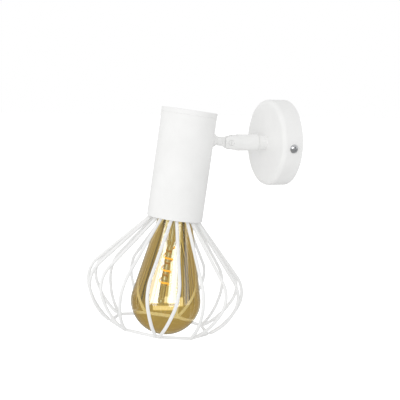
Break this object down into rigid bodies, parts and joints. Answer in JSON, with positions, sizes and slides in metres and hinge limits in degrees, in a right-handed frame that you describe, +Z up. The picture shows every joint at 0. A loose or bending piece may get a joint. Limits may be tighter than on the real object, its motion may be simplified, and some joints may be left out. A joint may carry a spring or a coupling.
{
  "type": "wall and ceiling light",
  "caption": "Wall or ceiling spot: a round canopy, a swivelling and tilting arm, a tube lampholder and a cage of pointed wire loops round a bare filament bulb.",
  "frame": {"origin": "centre of the canopy's back, on the wall plane", "axes": "+Z up, +Y into the wall, so the light stands out along -Y; +X to the right of someone who faces the wall"},
  "size_m": [0.143, 0.1866, 0.2152],
  "materials": {
    "white_coat": "satin powder coat",
    "chrome_screw": "polished",
    "zinc_steel": "zinc plated",
    "brass_parts": "bright",
    "pale_plastic": "matte",
    "porcelain": "glazed",
    "nickel_shell": "nickel plated",
    "dark_insulator": "glassy",
    "solder_tip": "dull solder",
    "amber_glass": "clear amber tint",
    "clear_glass": "clear",
    "glowing_filament": "matte coating",
    "support_wire": "drawn wire"
  },
  "bodies": {
    "base": {"canopy": "white_coat", "mounting_bracket": "zinc_steel", "canopy_side_screws": "chrome_screw", "terminal_block": "pale_plastic", "terminal_clamp_screws": "brass_parts", "terminal_block_screw": "zinc_steel", "earth_washer": "zinc_steel", "earth_screw": "brass_parts", "swivel_bush": "white_coat", "swivel_stop_pin": "zinc_steel", "swivel_bush_washer": "zinc_steel", "swivel_bush_nut": "zinc_steel"},
    "arm": {"arm_barrel": "white_coat", "swivel_thrust_washer": "zinc_steel", "swivel_clip": "zinc_steel", "pivot_screw": "white_coat", "pivot_nut": "zinc_steel", "pivot_washers": "zinc_steel"},
    "head": {"knuckle_neck": "white_coat", "neck_lock_washer": "zinc_steel", "neck_nut": "zinc_steel", "tube": "white_coat", "tube_end_cap": "white_coat", "lampholder_bracket": "zinc_steel", "lampholder_rod": "zinc_steel", "lampholder_nut": "zinc_steel", "lampholder_body": "porcelain", "lampholder_terminal_screws": "brass_parts", "lampholder_thread_shell": "nickel_shell", "lampholder_contact": "brass_parts", "lampholder_rivet": "brass_parts", "bulb_screw_cap": "nickel_shell", "bulb_insulator": "dark_insulator", "bulb_tip_contact": "solder_tip", "bulb_glass": "amber_glass", "bulb_stem": "clear_glass", "bulb_filament": "glowing_filament", "bulb_supports": "support_wire", "cage_collar": "white_coat", "cage_foot_ring": "white_coat", "cage_petal_1": "white_coat", "cage_petal_2": "white_coat", "cage_petal_3": "white_coat", "cage_petal_4": "white_coat", "cage_petal_5": "white_coat", "cage_petal_6": "white_coat", "cage_petal_7": "white_coat", "cage_petal_8": "white_coat", "cage_petal_9": "white_coat"}
  },
  "joints": [
    {"name": "head_swivel", "type": "hinge", "parent": "base", "child": "arm", "pos_m": [0, -0.03, 0], "axis": [0, 1, 0], "range_deg": [-165, 165]},
    {"name": "head_tilt", "type": "hinge", "parent": "arm", "child": "head", "pos_m": [0, -0.0559, 0], "axis": [1, 0, 0], "range_deg": [-90, 15]}
  ]
}
